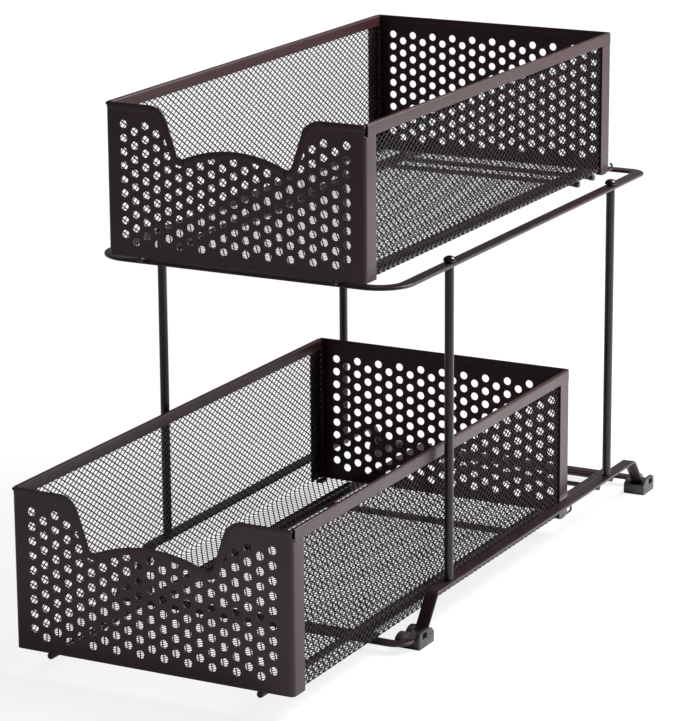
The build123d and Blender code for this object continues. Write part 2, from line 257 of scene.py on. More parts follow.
paintLook = {
    "frame": {
        "dark": (0.012, 0.004, 0.005), "light": (0.024, 0.012, 0.014), "rough": 0.34, "roughSpan": 0.08,
        "bump": 0.25, "gloss": 0.42,
    },
    "panel": {
        "dark": (0.021, 0.003, 0.0045), "light": (0.031, 0.009, 0.0115), "rough": 0.35, "roughSpan": 0.08,
        "bump": 0.3, "gloss": 0.5,
    },
    # the mesh colours are a darker copy of the panel paint: painted shade on the thin strands
    "mesh": {
        "dark": (0.007, 0.003, 0.004), "light": (0.016, 0.009, 0.011), "rough": 0.34, "roughSpan": 0.06,
        "bump": 0.2, "gloss": 0.3,
    },
}
nutLook = {
    "dark": (0.03, 0.024, 0.024), "light": (0.07, 0.058, 0.058), "rough": 0.10, "roughSpan": 0.08,
    "bump": 0.08, "gloss": 0.5, "metallic": 0.9,
}
plasticLook = {
    "dark": (0.018, 0.015, 0.016), "light": (0.034, 0.029, 0.031), "rough": 0.40, "roughSpan": 0.08,
    "bump": 0.5, "gloss": 0.5,
}
rubberLook = {**plasticLook, "bump": 0.6}
# the edge settings paint convex edges toward the light colour: a painted highlight along the edges
grainAndEdgeLightLook = {
    "mottle": {"scale": 35.0, "detail": 4.0}, "peel": {"scale": 900.0, "detail": 2.0},
    "speck": {"scale": 2600.0, "detail": 1.0}, "cloudSpan": (0.3, 0.7), "paintedEdgeLightSpan": (0.52, 0.62),
    "cloudShare": 0.35, "speckShare": 0.3, "paintedEdgeLightShare": 0.9, "speckHeight": 0.4, "depth": 0.0001,
}


def grainNoise(tree, place, word):
    look = grainAndEdgeLightLook[word]
    values = {"Vector": place, "Scale": look["scale"], "Detail": look["detail"]}
    return addNode(tree, "ShaderNodeTexNoise", values).outputs[0]


def stretched(tree, value, span):
    # span is the part of the value's range that is drawn out to 0 and 1
    low, high = span
    return addNode(tree, "ShaderNodeMapRange", {"Value": value, "From Min": low, "From Max": high}).outputs[0]


def paintGroup():
    tree, inlet, outlet = startTree(
        "satinPaint", "ShaderNodeTree",
        [("Dark", "NodeSocketColor"), ("Light", "NodeSocketColor"), ("Rough", number), ("Rough Span", number)],
        [("Colour", "NodeSocketColor"), ("Roughness", number), ("Height", number)],
    )
    look = grainAndEdgeLightLook
    place = addNode(tree, "ShaderNodeTexCoord").outputs["Object"]
    mottle, peel, speck = [grainNoise(tree, place, word) for word in ("mottle", "peel", "speck")]
    edge = addNode(tree, "ShaderNodeNewGeometry").outputs["Pointiness"]
    # convex edges, found by pointiness, are painted toward the light colour: a painted highlight where light
    # catches the edges
    paintedEdgeLight = stretched(tree, edge, look["paintedEdgeLightSpan"])
    cloud = stretched(tree, mottle, look["cloudSpan"])
    clouded = reckon(tree, "MULTIPLY", cloud, look["cloudShare"])
    share = reckon(tree, "ADD", clouded, reckon(tree, "MULTIPLY", speck, look["speckShare"]))
    share = reckon(tree, "MAXIMUM", share, reckon(tree, "MULTIPLY", paintedEdgeLight, look["paintedEdgeLightShare"]))
    colour = addNode(tree, "ShaderNodeMix", {0: share, 6: inlet["Dark"], 7: inlet["Light"]}, data_type="RGBA")
    spread = reckon(tree, "MULTIPLY", reckon(tree, "SUBTRACT", cloud, 0.5), inlet["Rough Span"])
    tree.links.new(colour.outputs[2], outlet["Colour"])
    tree.links.new(reckon(tree, "ADD", inlet["Rough"], spread), outlet["Roughness"])
    height = reckon(tree, "ADD", peel, reckon(tree, "MULTIPLY", speck, look["speckHeight"]))
    tree.links.new(height, outlet["Height"])
    return tree


satinPaint = paintGroup()


def coatedMaterial(name, look):
    material = bpy.data.materials.new(name)
    material.use_nodes = True
    tree = material.node_tree
    shader = tree.nodes["Principled BSDF"]
    shader.inputs["Metallic"].default_value = look.get("metallic", 0.0)
    shader.inputs["Specular IOR Level"].default_value = look["gloss"]
    group = addNode(tree, "ShaderNodeGroup", node_tree=satinPaint)
    group.inputs["Dark"].default_value = (*look["dark"], 1)
    group.inputs["Light"].default_value = (*look["light"], 1)
    group.inputs["Rough"].default_value = look["rough"]
    group.inputs["Rough Span"].default_value = look["roughSpan"]
    values = {"Height": group.outputs["Height"], "Strength": look["bump"], "Distance": grainAndEdgeLightLook["depth"]}
    relief = addNode(tree, "ShaderNodeBump", values)
    tree.links.new(group.outputs["Colour"], shader.inputs["Base Color"])
    tree.links.new(group.outputs["Roughness"], shader.inputs["Roughness"])
    tree.links.new(relief.outputs[0], shader.inputs["Normal"])
    return material


framePaint = coatedMaterial("framePaint", paintLook["frame"])
panelPaint = coatedMaterial("panelPaint", paintLook["panel"])
# the mesh's material is that darker copy of the panel paint: painted shade on the strands
shadedMeshPaint = coatedMaterial("shadedMeshPaint", paintLook["mesh"])
nutMetal = coatedMaterial("nutMetal", nutLook)
footPlastic = coatedMaterial("footPlastic", plasticLook)
bumperRubber = coatedMaterial("bumperRubber", rubberLook)
slotMaterials = {
    "frame_paint": framePaint, "panel_paint": panelPaint, "mesh_paint": shadedMeshPaint,
    "nut_metal": nutMetal, "foot_plastic": footPlastic, "bumper_rubber": bumperRubber,
}
for entry in frame["record"]["subparts"]:
    node = frame["nodes"][entry["node"]]
    node.data.materials.clear()
    node.data.materials.append(slotMaterials[entry["material_slot"]])
print("materials made")


# Each basket's sizes, from its own nodes' boxes


def tierSizes(tier):
    frontLow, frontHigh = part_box(tier + "_front_panel")
    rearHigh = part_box(tier + "_rear_panel")[1]
    return {
        "width": frontHigh.x - frontLow.x,
        "floor": frontLow.z,
        "height": frontHigh.z - frontLow.z,
        "front": frontLow.y + panelLook["hemProud"],
        "depth": rearHigh.y - frontLow.y - 2 * panelLook["hemProud"],
    }


# Perforated panels: a flat blank with its holes, bent round its corners

panelLook = {
    "sheet": 0.0008, "bendRadius": 0.003, "bendSteps": 6, "frontFlange": 0.0155, "rearFlange": 0.0163,
    "hemWidth": 0.005, "hemProud": 0.0005, "hemShown": 0.00012, "hemRound": 0.00036, "rimHeight": 0.008,
    "edgeBreak": 0.00012, "squareFrom": 1.2,
    "columns": 21, "rows": 9, "columnShare": 0.0430, "pitchShare": 0.0482, "topShare": 0.137,
    "diameterShare": 0.0285, "holeSides": 20, "leastEdge": 0.0004, "rayLift": 0.01, "rayLength": 0.1,
    "scoopTopShare": 0.277, "scoopLowShare": 0.216, "scoopDepthShare": 0.343, "scoopHumpShare": 0.249,
    "shoulderRadius": 0.014, "cornerRadius": 0.004, "humpPoints": 24,
    "notch": 0.0022, "beadRadius": 0.0012, "beadDrop": 0.0013, "beadRings": 8, "beadSides": 14,
}


def perforationTree():
    tree, inlet, outlet = startTree(
        "perforatedSheet", "GeometryNodeTree",
        [
            ("Outline", geometry), ("Columns", whole), ("Rows", whole), ("Column Step", number), ("Pitch", number),
            ("First Row", number), ("Hole Diameter", number), ("Hole Sides", whole), ("Least Edge", number),
            ("Material", finishSocket),
        ],
        [("Sheet", geometry)],
    )
    tree.is_modifier = True
    count = reckon(tree, "MULTIPLY", inlet["Columns"], inlet["Rows"])
    seeds = addNode(tree, "GeometryNodeMeshLine", {"Count": count, "Offset": (0, 0, 0)})
    index = addNode(tree, "GeometryNodeInputIndex").outputs[0]
    # half a point more keeps the column's floor clear of rounding
    column = reckon(tree, "FLOOR", reckon(tree, "DIVIDE", reckon(tree, "ADD", index, 0.5), inlet["Rows"]))
    row = reckon(tree, "SUBTRACT", index, reckon(tree, "MULTIPLY", column, inlet["Rows"]))
    middle = reckon(tree, "DIVIDE", reckon(tree, "SUBTRACT", inlet["Columns"], 1), 2)
    x = reckon(tree, "MULTIPLY", reckon(tree, "SUBTRACT", column, middle), inlet["Column Step"])
    stagger = reckon(tree, "DIVIDE", reckon(tree, "MODULO", column, 2), 2)
    drop = reckon(tree, "MULTIPLY", reckon(tree, "ADD", row, stagger), inlet["Pitch"])
    y = reckon(tree, "SUBTRACT", inlet["First Row"], drop)
    place = addNode(tree, "ShaderNodeCombineXYZ", {"X": x, "Y": y}).outputs[0]
    spots = addNode(tree, "GeometryNodeSetPosition", {"Geometry": seeds.outputs[0], "Position": place}).outputs[0]
    outline = addNode(tree, "GeometryNodeMeshToCurve", {"Mesh": inlet["Outline"]}).outputs[0]
    blank = addNode(tree, "GeometryNodeFillCurve", {"Curve": outline}).outputs[0]
    # a hole stays where a ray from above finds the blank and no edge is too near
    here = addNode(tree, "GeometryNodeInputPosition").outputs[0]
    lift = (0, 0, panelLook["rayLift"])
    above = addNode(tree, "ShaderNodeVectorMath", {0: here, 1: lift}, operation="ADD").outputs[0]
    values = {
        "Target Geometry": blank, "Source Position": above, "Ray Direction": (0, 0, -1),
        "Ray Length": panelLook["rayLength"],
    }
    ray = addNode(tree, "GeometryNodeRaycast", values)
    near = addNode(tree, "GeometryNodeProximity", {0: inlet["Outline"]}, target_element="EDGES")
    margin = reckon(tree, "ADD", reckon(tree, "DIVIDE", inlet["Hole Diameter"], 2), inlet["Least Edge"])
    tooNear = reckon(tree, "LESS_THAN", near.outputs["Distance"], margin)
    missed = reckon(tree, "SUBTRACT", 1, ray.outputs["Is Hit"])
    spoilt = reckon(tree, "MAXIMUM", tooNear, missed)
    kept = addNode(tree, "GeometryNodeDeleteGeometry", {"Geometry": spots, "Selection": spoilt}, domain="POINT")
    radius = reckon(tree, "DIVIDE", inlet["Hole Diameter"], 2)
    hole = addNode(tree, "GeometryNodeCurvePrimitiveCircle", {"Resolution": inlet["Hole Sides"], "Radius": radius})
    holes = addNode(tree, "GeometryNodeInstanceOnPoints", {"Points": kept.outputs[0], "Instance": hole.outputs[0]})
    real = addNode(tree, "GeometryNodeRealizeInstances", {0: holes.outputs[0]}).outputs[0]
    both = addNode(tree, "GeometryNodeJoinGeometry")
    tree.links.new(outline, both.inputs[0])
    tree.links.new(real, both.inputs[0])
    sheet = addNode(tree, "GeometryNodeFillCurve", {"Curve": both.outputs[0]}).outputs[0]
    sheet = addNode(tree, "GeometryNodeRealizeInstances", {0: sheet}).outputs[0]
    painted = addNode(tree, "GeometryNodeSetMaterial", {"Geometry": sheet, "Material": inlet["Material"]})
    tree.links.new(painted.outputs[0], outlet["Sheet"])
    return tree


def runTree(name, tree, data, values):
    # the tree's result on a mesh, as a plain mesh
    holder = bpy.data.objects.new(name, data)
    bpy.context.collection.objects.link(holder)
    modifier = holder.modifiers.new(name, "NODES")
    modifier.node_group = tree
    sockets = {item.name: item.identifier for item in tree.interface.items_tree if item.in_out == "INPUT"}
    for label, value in values.items():
        modifier[sockets[label]] = value
    return plainCopy(holder)


def scoopTop(width, height, reach):
    # the top edge from right to left in the flat blank, down through the scoop
    look = panelLook
    top = look["scoopTopShare"] * width
    low = look["scoopLowShare"] * width
    depth = height * (1 - look["scoopDepthShare"])
    hump = height * (1 - look["scoopHumpShare"])
    sag = hump - depth
    bow = (low * low + sag * sag) / (2 * sag)
    corners = [((reach, height, 0), 0), ((top, height, 0), look["shoulderRadius"])]
    corners.append(((low, depth, 0), look["cornerRadius"]))
    count = look["humpPoints"]
    for k in range(1, count):
        x = low * (1 - 2 * k / count)
        corners.append(((x, hump - bow + (bow * bow - x * x) ** 0.5, 0), 0))
    corners += [((-low, depth, 0), look["cornerRadius"]), ((-top, height, 0), look["shoulderRadius"])]
    corners.append(((-reach, height, 0), 0))
    return roundedPath(corners)


def plainTop(width, height, reach):
    return [Vector((reach, height, 0)), Vector((-reach, height, 0))]


def bend(points, width):
    # flat (along, up, out of the face) to a panel with its flanges folded back
    radius = panelLook["bendRadius"]
    flat = width / 2 - radius
    along, up, out = points.T
    far = np.abs(along)
    turn = np.clip((far - flat) / radius, 0, pi / 2)
    beyond = np.maximum(far - flat - radius * pi / 2, 0)
    x = np.minimum(far, flat) + (radius + out) * np.sin(turn)
    y = radius - (radius + out) * np.cos(turn) + beyond
    return np.stack((np.sign(along) * x, y, up), axis=1)


def thicken(work, sheet):
    # gives a flat sheet its back and its edges, in the blank's own plane
    front = list(work.faces)
    rims = [(e.link_loops[0].vert, e.link_loops[0].link_loop_next.vert) for e in work.edges if e.is_boundary]
    under = {v: work.verts.new(v.co - Vector((0, 0, sheet))) for v in list(work.verts)}
    for face in front:
        work.faces.new([under[v] for v in reversed(face.verts)])
    for a, b in rims:
        work.faces.new((a, under[a], under[b], b))


def blankData(name, width, height, flange, top):
    look = panelLook
    radius = look["bendRadius"]
    bendEnd = width / 2 - radius + radius * pi / 2
    reach = bendEnd + flange - radius
    shelf = height - look["rimHeight"]
    notched = bendEnd - look["notch"]
    outline = [Vector((-reach, 0, 0)), Vector((reach, 0, 0)), Vector((reach, shelf, 0))]
    outline += [Vector((notched, shelf, 0)), *top(width, height, notched)]
    outline += [Vector((-notched, shelf, 0)), Vector((-reach, shelf, 0))]
    data = bpy.data.meshes.new(name)
    count = len(outline)
    data.from_pydata(outline, [(i, (i + 1) % count) for i in range(count)], [])
    values = {
        "Columns": look["columns"], "Rows": look["rows"], "Column Step": look["columnShare"] * width,
        "Pitch": look["pitchShare"] * width, "First Row": height * (1 - look["topShare"]),
        "Hole Diameter": look["diameterShare"] * width, "Hole Sides": look["holeSides"],
        "Least Edge": look["leastEdge"], "Material": panelPaint,
    }
    return runTree(name, perforatedSheet, data, values)


def panelMesh(name, width, height, flange, top):
    look = panelLook
    data = blankData(name, width, height, flange, top)
    work = bmesh.new()
    work.from_mesh(data)
    bmesh.ops.remove_doubles(work, verts=work.verts, dist=meshDetail["mergeWithin"])
    radius = look["bendRadius"]
    flat = width / 2 - radius
    cuts = [flat + radius * pi / 2 * k / look["bendSteps"] for k in range(look["bendSteps"] + 1)]
    for cut in [flat - radius / 3] + cuts:
        for side in (-1, 1):
            everything = work.verts[:] + work.edges[:] + work.faces[:]
            plane = {"plane_co": (side * cut, 0, 0), "plane_no": (1, 0, 0)}
            bmesh.ops.bisect_plane(work, geom=everything, dist=meshDetail["cutWithin"], **plane)
    if sum(face.normal.z for face in work.faces) < 0:
        bmesh.ops.reverse_faces(work, faces=work.faces[:])
    thicken(work, look["sheet"])
    square = [
        edge for edge in work.edges
        if len(edge.link_faces) == 2 and edge.calc_face_angle(0) > look["squareFrom"]
        and min(v.co.z for v in edge.verts) > -meshDetail["mergeWithin"]
    ]
    bmesh.ops.bevel(work, geom=square, offset=look["edgeBreak"], segments=1, affect="EDGES", clamp_overlap=True)
    work.to_mesh(data)
    work.free()
    setPoints(data, bend(getPoints(data), width))
    return data


def hemMesh(width, height, top):
    # the folded top edge: a flat ring that follows the outline just below it
    look = panelLook
    radius = look["bendRadius"]
    bendEnd = width / 2 - radius + radius * pi / 2
    hemEnd = bendEnd - look["notch"]
    span = radius * pi / 2 - look["notch"]
    path = top(width, height, hemEnd)
    if len(path) == 2:
        steps = [hemEnd - span * k / look["bendSteps"] for k in range(look["bendSteps"] + 1)]
        path = [Vector((x, height, 0)) for x in steps] + [Vector((-x, height, 0)) for x in reversed(steps)]
    else:
        steps = [hemEnd - span * k / look["bendSteps"] for k in range(1, look["bendSteps"] + 1)]
        path = path[:1] + [Vector((x, height, 0)) for x in steps] + path[1:-1]
        path += [Vector((-x, height, 0)) for x in reversed(steps)] + [Vector((-hemEnd, height, 0))]
    thick = look["sheet"] + look["hemShown"] + look["hemProud"]
    ring = roundedBar(look["hemWidth"], thick, look["hemRound"])
    middle = (look["hemShown"] - look["hemProud"] - look["sheet"]) / 2
    vertices = []
    count = len(path)
    for i, place in enumerate(path):
        before = path[max(i - 1, 0)]
        after = path[min(i + 1, count - 1)]
        tangent = (after - before).normalized()
        outwardNormal = Vector((tangent.y, -tangent.x, 0))
        for a, b in ring:
            spot = place + outwardNormal * (a - look["hemWidth"] / 2)
            vertices.append((spot.x, spot.y, b + middle))
    sides = len(ring)
    rings = [vertices[i * sides:(i + 1) * sides] for i in range(count)]
    flatVertices, faces = skin(rings)
    return bend(np.array(flatVertices), width), faces


def placed(points, sizes, turned):
    # from the panel's own place to its basket; turned is the rear panel
    points = np.array(points)
    if turned:
        points = points * (-1, -1, 1) + (0, sizes["depth"], 0)
    return points + (0, sizes["front"], sizes["floor"])


def buildPanels(tier):
    sizes = tierSizes(tier)
    body = tier + "_basket"
    ends = (("front", panelLook["frontFlange"], scoopTop), ("rear", panelLook["rearFlange"], plainTop))
    for word, flange, top in ends:
        data = panelMesh(tier + word, sizes["width"], sizes["height"], flange, top)
        setPoints(data, placed(getPoints(data), sizes, word == "rear"))
        panel = finishObject(tier + "_" + word + "_sheet", data, panelPaint)
        install(panel, body, "panel_paint", tier + "_" + word + "_panel")
        points, faces = hemMesh(sizes["width"], sizes["height"], top)
        hem = finishMesh(tier + "_" + word + "_hem", placed(points, sizes, word == "rear"), faces, panelPaint)
        outward(hem.data)
        install(hem, body, "panel_paint")
    buildBeads(tier, sizes)


def buildBeads(tier, sizes):
    # the rolled ends of the front hem, as small round knobs on the corners' bends
    look = panelLook
    spot = sizes["width"] / 2 - look["bendRadius"] * (1 - pi / 2) - look["notch"] - look["beadRadius"] / 2
    flat = [(side * spot, sizes["height"] - look["beadDrop"], 0.0) for side in (-1, 1)]
    beads = []
    for place in placed(bend(np.array(flat), sizes["width"]), sizes, False):
        angles = [pi * k / look["beadRings"] for k in range(look["beadRings"] + 1)]
        outline = [(look["beadRadius"] * sin(angle), -look["beadRadius"] * cos(angle)) for angle in angles]
        beads.append(lathe(outline, Vector(place), look["beadSides"]))
    piece = finishMesh(tier + "_hem_ends", *joined(beads), panelPaint)
    mendPoles(piece.data)
    install(piece, tier + "_basket", "panel_paint")


perforatedSheet = perforationTree()


# Wire mesh: zigzag strands that meet at their knuckles, two walls and a floor with turned-up edges

meshLook = {
    "cellLong": 0.00705, "cellShort": 0.00455, "strandWide": 0.00096, "strandThick": 0.00042, "knuckle": 0.00012,
    "wallTilt": radians(-58), "floorTilt": radians(14), "bendRadius": 0.0028, "frontSetback": 0.0012,
    "topSetback": 0.0016,
}


def strandTree():
    tree, inlet, outlet = startTree(
        "diamondMesh", "GeometryNodeTree",
        [
            ("Seed", geometry), ("Steps", whole), ("Rows", whole), ("Cell Long", number), ("Cell Short", number),
            ("Knuckle", number), ("Strand Wide", number), ("Strand Thick", number), ("Tilt", number),
            ("Material", finishSocket),
        ],
        [("Sheet", geometry)],
    )
    tree.is_modifier = True
    half = reckon(tree, "DIVIDE", inlet["Cell Long"], 2)
    apart = reckon(tree, "DIVIDE", inlet["Cell Short"], 2)
    stride = addNode(tree, "ShaderNodeCombineXYZ", {"X": half}).outputs[0]
    line = addNode(tree, "GeometryNodeMeshLine", {"Count": inlet["Steps"], "Offset": stride})
    index = addNode(tree, "GeometryNodeInputIndex").outputs[0]
    swing = reckon(tree, "SUBTRACT", reckon(tree, "DIVIDE", apart, 2), reckon(tree, "DIVIDE", inlet["Knuckle"], 2))
    flip = reckon(tree, "SUBTRACT", reckon(tree, "MULTIPLY", reckon(tree, "MODULO", index, 2), 2), 1)
    sway = addNode(tree, "ShaderNodeCombineXYZ", {"Y": reckon(tree, "MULTIPLY", flip, swing)}).outputs[0]
    zigzag = addNode(tree, "GeometryNodeSetPosition", {"Geometry": line.outputs[0], "Offset": sway}).outputs[0]
    strand = addNode(tree, "GeometryNodeMeshToCurve", {"Mesh": zigzag}).outputs[0]
    spread = addNode(tree, "ShaderNodeCombineXYZ", {"Y": apart}).outputs[0]
    rows = addNode(tree, "GeometryNodeMeshLine", {"Count": inlet["Rows"], "Offset": spread})
    mirrored = addNode(tree, "ShaderNodeCombineXYZ", {"X": 1.0, "Y": reckon(tree, "MULTIPLY", flip, -1), "Z": 1.0})
    values = {"Points": rows.outputs[0], "Instance": strand, "Scale": mirrored.outputs[0]}
    laid = addNode(tree, "GeometryNodeInstanceOnPoints", values)
    real = addNode(tree, "GeometryNodeRealizeInstances", {0: laid.outputs[0]}).outputs[0]
    flat = addNode(tree, "GeometryNodeSetCurveNormal", {0: real}, mode="Z_UP")
    values = {"Width": inlet["Strand Wide"], "Height": inlet["Strand Thick"]}
    bar = addNode(tree, "GeometryNodeCurvePrimitiveQuadrilateral", values, mode="RECTANGLE")
    turnBy = addNode(tree, "ShaderNodeCombineXYZ", {"Z": inlet["Tilt"]}).outputs[0]
    tilted = addNode(tree, "GeometryNodeTransform", {"Geometry": bar.outputs[0], "Rotation": turnBy}).outputs[0]
    values = {"Curve": flat.outputs[0], "Profile Curve": tilted, "Fill Caps": True}
    solid = addNode(tree, "GeometryNodeCurveToMesh", values)
    out = addNode(tree, "GeometryNodeRealizeInstances", {0: solid.outputs[0]}).outputs[0]
    painted = addNode(tree, "GeometryNodeSetMaterial", {"Geometry": out, "Material": inlet["Material"]})
    tree.links.new(painted.outputs[0], outlet["Sheet"])
    return tree


diamondMesh = strandTree()


def wallPlace(points, side, outerX, topZ):
    # flat (along the depth, down from the top edge, out of the sheet) to an upright wall
    along, down, out = points.T
    return np.stack((side * (outerX + out), along, topZ - down), axis=1)


def floorPlace(points, half, floorZ):
    # flat (along the depth, from the right edge to the left, out of the sheet) to a floor with turned-up edges
    radius = meshLook["bendRadius"]
    along, across, out = points.T
    spot = half + radius * pi / 2 - across
    far = np.abs(spot)
    turn = np.clip((far - half) / radius, 0, pi / 2)
    x = np.sign(spot) * (np.minimum(far, half) + (radius + out) * np.sin(turn))
    return np.stack((x, along, floorZ + radius - (radius + out) * np.cos(turn)), axis=1)


def meshSheet(name, length, run, tilt):
    # a flat sheet of whole cells, as a mesh and its points
    look = meshLook
    steps = 2 * int(length / look["cellLong"]) + 1
    cells = round(run / look["cellShort"])
    values = {
        "Steps": steps, "Rows": 2 * cells, "Cell Long": 2 * length / (steps - 1), "Cell Short": run / cells,
        "Knuckle": look["knuckle"], "Strand Wide": look["strandWide"], "Strand Thick": look["strandThick"],
        "Tilt": tilt, "Material": shadedMeshPaint,
    }
    data = runTree(name, diamondMesh, bpy.data.meshes.new(name), values)
    # every strand swings a quarter cell to each side, so the first one starts that far in
    return data, getPoints(data) + (0, run / cells / 4, 0)


def installMesh(name, data, points, flipped, body, node):
    if flipped:
        data.flip_normals()
    setPoints(data, points)
    install(finishObject(name, data, shadedMeshPaint), body, "mesh_paint", node)


def buildMesh(tier):
    look = meshLook
    sizes = tierSizes(tier)
    wallLow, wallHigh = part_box(tier + "_right_mesh")
    floorLow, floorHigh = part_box(tier + "_floor_mesh")
    outerX = (wallLow.x + wallHigh.x) / 2
    floorZ = (floorLow.z + floorHigh.z) / 2
    topZ = sizes["floor"] + sizes["height"] - look["topSetback"]
    half = outerX - look["bendRadius"]
    length = sizes["depth"] - 2 * look["frontSetback"]
    shift = (sizes["front"] + look["frontSetback"], 0, 0)
    body = tier + "_basket"
    for word, side in (("right", 1), ("left", -1)):
        name = tier + "_" + word + "_wire_mesh"
        data, points = meshSheet(name, length, topZ - floorZ - look["bendRadius"], side * look["wallTilt"])
        placedPoints = wallPlace(points + shift, side, outerX, topZ)
        installMesh(name, data, placedPoints, side > 0, body, tier + "_" + word + "_mesh")
    name = tier + "_floor_wire_mesh"
    data, points = meshSheet(name, length, 2 * half + look["bendRadius"] * pi, look["floorTilt"])
    installMesh(name, data, floorPlace(points + shift, half, floorZ), True, body, tier + "_floor_mesh")


# Rims and runners; the tails and bumpers are shown as they are

rimLook = {"sheet": 0.0008, "topRound": 0.0012, "sides": 4, "reach": 0.0019}
runnerLook = {"sides": 20, "tipSteps": ((0.0, 0.45), (0.0003, 0.72), (0.0010, 0.93), (0.0020, 1.0))}


def rimRing(wide, tall, sheet, topRound):
    # an inverted U: up the outside, over the top, and back up the inside
    ring = []
    for side, first in ((1, 0), (-1, 90)):
        for k in range(rimLook["sides"] + 1):
            angle = radians(first + 90 * k / rimLook["sides"])
            ring.append((side * (wide / 2 - topRound) + topRound * cos(angle), -topRound + topRound * sin(angle)))
    ring = [(wide / 2, -tall)] + ring + [(-wide / 2, -tall), (-wide / 2 + sheet, -tall)]
    return ring + [(-wide / 2 + sheet, -sheet), (wide / 2 - sheet, -sheet), (wide / 2 - sheet, -tall)]


def buildRims(tier):
    for word in ("left", "right"):
        node = tier + "_" + word + "_rim"
        low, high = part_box(node)
        x = (low.x + high.x) / 2
        path = [Vector((x, low.y - rimLook["reach"], high.z)), Vector((x, high.y, high.z))]
        ring = rimRing(high.x - low.x, high.z - low.z, rimLook["sheet"], rimLook["topRound"])
        piece = sweep(tier + "_" + word + "_folded_rim", path, ring, panelPaint)
        install(piece, tier + "_basket", "panel_paint", node)


def buildRunners(tier):
    body = tier + "_basket"
    for word in ("left", "right"):
        node = tier + "_" + word + "_runner"
        low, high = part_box(node)
        x, z = (low.x + high.x) / 2, (low.z + high.z) / 2
        path = [Vector((x, low.y, z)), Vector((x, high.y, z))]
        ring = circle((high.z - low.z) / 2, runnerLook["sides"])
        rod = sweep(node + "_rod", path, ring, framePaint, ends=runnerLook["tipSteps"])
        install(rod, body, "frame_paint", node)


# Frame: swept strips, posts and their nuts

frameLook = {
    "stripWide": 0.0095, "stripThick": 0.0022, "stripRound": 0.0007, "stripEnds": ((0.0, 0.93), (0.0004, 1.0)),
    "ringTurns": (0.021, 0.010), "barTurn": 0.0095, "legRun": 0.0185, "legBend": 0.007,
    "frontTail": 0.008, "frontFlat": 0.010, "rearTail": 0.0, "rearFlat": 0.0035,
}


def stripRing():
    return roundedBar(frameLook["stripWide"], frameLook["stripThick"], frameLook["stripRound"])


def buildRing():
    low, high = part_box("upper_ring")
    inset = frameLook["stripWide"] / 2
    z = (low.z + high.z) / 2
    x0, x1, y0, y1 = low.x + inset, high.x - inset, low.y + inset, high.y - inset
    front, rear = frameLook["ringTurns"]
    corners = [((x0, y0, z), front), ((x1, y0, z), front), ((x1, y1, z), rear), ((x0, y1, z), rear)]
    ring = sweep("upper_strip_ring", roundedPath(corners, closed=True), stripRing(), framePaint, closed=True)
    install(ring, "frame", "frame_paint", "upper_ring")


def buildLowerLoop():
    look = frameLook
    inset = look["stripWide"] / 2
    frontLow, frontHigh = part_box("lower_front_bar")
    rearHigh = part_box("lower_rear_bar")[1]
    railLow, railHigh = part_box("lower_right_rail")
    x = (railLow.x + railHigh.x) / 2
    barZ = (frontLow.z + frontHigh.z) / 2
    railZ = railHigh.z - look["stripThick"] / 2
    y0, y1 = frontLow.y + inset, rearHigh.y - inset
    frontLeg = y0 + look["barTurn"] + look["frontTail"] + look["frontFlat"]
    rearLeg = y1 - look["barTurn"] - look["rearTail"] - look["rearFlat"]
    side = [
        ((x, y0, barZ), look["barTurn"]), ((x, frontLeg, barZ), look["legBend"]),
        ((x, frontLeg + look["legRun"], railZ), look["legBend"]),
        ((x, rearLeg - look["legRun"], railZ), look["legBend"]),
        ((x, rearLeg, barZ), look["legBend"]), ((x, y1, barZ), look["barTurn"]),
    ]
    otherSide = [((-place[0], place[1], place[2]), radius) for place, radius in reversed(side)]
    path = roundedPath(side + otherSide, closed=True)
    loop = sweep("lower_strip_loop", path, stripRing(), framePaint, closed=True)
    nodes = ("lower_left_rail", "lower_right_rail", "lower_front_bar", "lower_rear_bar")
    install(loop, "frame", "frame_paint", *nodes)


def buildStraights():
    slides = ("upper_left_slide", "upper_right_slide", "lower_left_slide", "lower_right_slide")
    for node in (*slides, "lower_middle_strip"):
        low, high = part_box(node)
        middle = (low + high) / 2
        if high.y - low.y > high.x - low.x:
            path = [Vector((middle.x, low.y, middle.z)), Vector((middle.x, high.y, middle.z))]
        else:
            path = [Vector((low.x, middle.y, middle.z)), Vector((high.x, middle.y, middle.z))]
        strip = sweep(node + "_bar", path, stripRing(), framePaint, ends=frameLook["stripEnds"])
        install(strip, "frame", "frame_paint", node)


postLook = {"shoulder": 0.0005, "sides": 28}
nutShape = {
    "neck": 0.0032, "neckHeight": 0.0012, "rim": 0.0044, "undersideShare": 0.96, "rimBand": 0.0003, "dome": 0.0034,
    "steps": 9, "sides": 28,
}


def buildPosts():
    ringLow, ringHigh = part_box("upper_ring")
    domes = []
    for node in ("front_left_post", "front_right_post", "rear_left_post", "rear_right_post"):
        low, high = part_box(node)
        radius = (high.x - low.x) / 2
        centre = Vector(((low.x + high.x) / 2, (low.y + high.y) / 2, low.z))
        tall = ringLow.z - low.z
        soft = postLook["shoulder"]
        outline = [
            (0.0, 0.0), (radius - soft, 0.0), (radius, soft), (radius, tall / 2), (radius, tall - soft),
            (radius - soft, tall), (0.0, tall),
        ]
        post = finishMesh(node + "_rod", *lathe(outline, centre, postLook["sides"]), framePaint)
        mendPoles(post.data)
        install(post, "frame", "frame_paint", node)
        look = nutShape
        dome = [(0.0, 0.0), (look["neck"], 0.0), (look["neck"], look["neckHeight"])]
        dome.append((look["rim"] * look["undersideShare"], look["neckHeight"]))
        for k in range(look["steps"] + 1):
            angle = pi / 2 * k / look["steps"]
            height = look["neckHeight"] + look["rimBand"] + look["dome"] * sin(angle)
            dome.append((look["rim"] * cos(angle), height))
        domes.append(lathe(dome, Vector((centre.x, centre.y, ringHigh.z)), look["sides"]))
    nuts = finishMesh("domed_cap_nuts", *joined(domes), nutMetal)
    mendPoles(nuts.data)
    install(nuts, "frame", "nut_metal", "cap_nuts")


# Feet: a sole with a plate outside the strip and two round humps inside it

